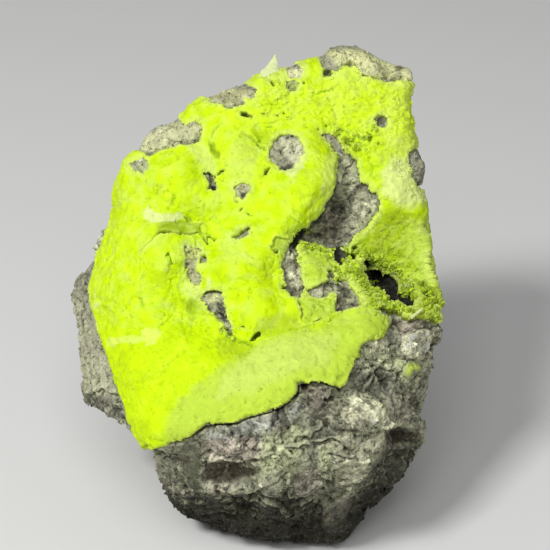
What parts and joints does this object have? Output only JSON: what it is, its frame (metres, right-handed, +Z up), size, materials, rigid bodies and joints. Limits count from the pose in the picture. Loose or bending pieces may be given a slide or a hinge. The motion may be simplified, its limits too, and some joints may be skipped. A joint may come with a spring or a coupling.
{
  "type": "autunite specimen",
  "caption": "Broken block of pale granite that stands on a flat cut, its leaning front face covered by a bright yellow-green autunite crust with windows and a dark cavity.",
  "frame": {"origin": "middle of the specimen's bounding box, on the flat cut that it stands on", "axes": "+Z up and the longest way through the specimen, +Y from the crusted face to the back, +X to the viewer's right when looking at the crust"},
  "size_m": [0.0668, 0.0658, 0.0794],
  "materials": {
    "host_rock": "rough broken granite, fine grained, grey with a green tinge",
    "autunite": "waxy to powdery crystal crust, saturated yellow-green",
    "pale_crystal": "pale translucent crystal, satin"
  },
  "bodies": {
    "root": {"rock_matrix": "host_rock", "autunite_crust": "autunite", "autunite_patch": "autunite", "rim_crystal": "pale_crystal", "lath_crystal": "pale_crystal"}
  },
  "joints": []
}
